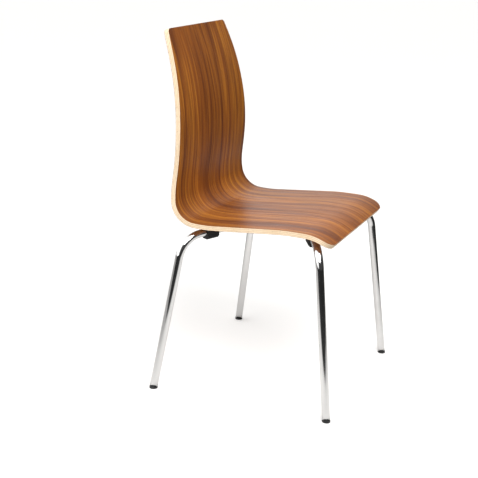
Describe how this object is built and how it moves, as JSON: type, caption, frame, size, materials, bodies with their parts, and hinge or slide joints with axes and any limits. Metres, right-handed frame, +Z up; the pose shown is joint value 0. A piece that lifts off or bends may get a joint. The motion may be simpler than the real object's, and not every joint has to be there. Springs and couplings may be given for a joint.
{
  "type": "stacking chair",
  "caption": "Stacking chair: one moulded plywood shell with a tall curved back and rounded front edge, on a chromed bent tube frame with splayed legs and black feet.",
  "frame": {"origin": "on the floor, under the middle of the chair's bounding box, on its plane of symmetry", "axes": "+Z up, -Y the way the sitter faces, +X to the sitter's left"},
  "size_m": [0.5434, 0.4952, 0.86],
  "materials": {
    "face_wood": "satin lacquered dark striped veneer, stripes from front to back and up the back",
    "ply_long": "lacquered light ply edge, long grain",
    "ply_cross": "lacquered ply edge, end grain, slightly darker",
    "chrome_tube": "polished chrome plate",
    "black_steel": "black powder coat",
    "zinc_steel": "bright zinc plate",
    "rubber": "matt moulded rubber",
    "foot_plastic": "black moulded nylon"
  },
  "bodies": {
    "root": {"face_veneer": "face_wood", "core_ply_1": "ply_long", "core_ply_2": "ply_cross", "core_ply_3": "ply_long", "core_ply_4": "ply_cross", "core_ply_5": "ply_long", "back_veneer": "face_wood", "threaded_inserts": "zinc_steel", "spacer_pad": "rubber", "fixing_plate": "black_steel", "washers": "zinc_steel", "fixing_screws": "zinc_steel", "front_leg_tube": "chrome_tube", "rear_leg_tube": "chrome_tube", "foot_front_left": "foot_plastic", "buffer_front_left": "rubber", "foot_front_right": "foot_plastic", "buffer_front_right": "rubber", "foot_rear_left": "foot_plastic", "buffer_rear_left": "rubber", "foot_rear_right": "foot_plastic", "buffer_rear_right": "rubber"}
  },
  "joints": []
}
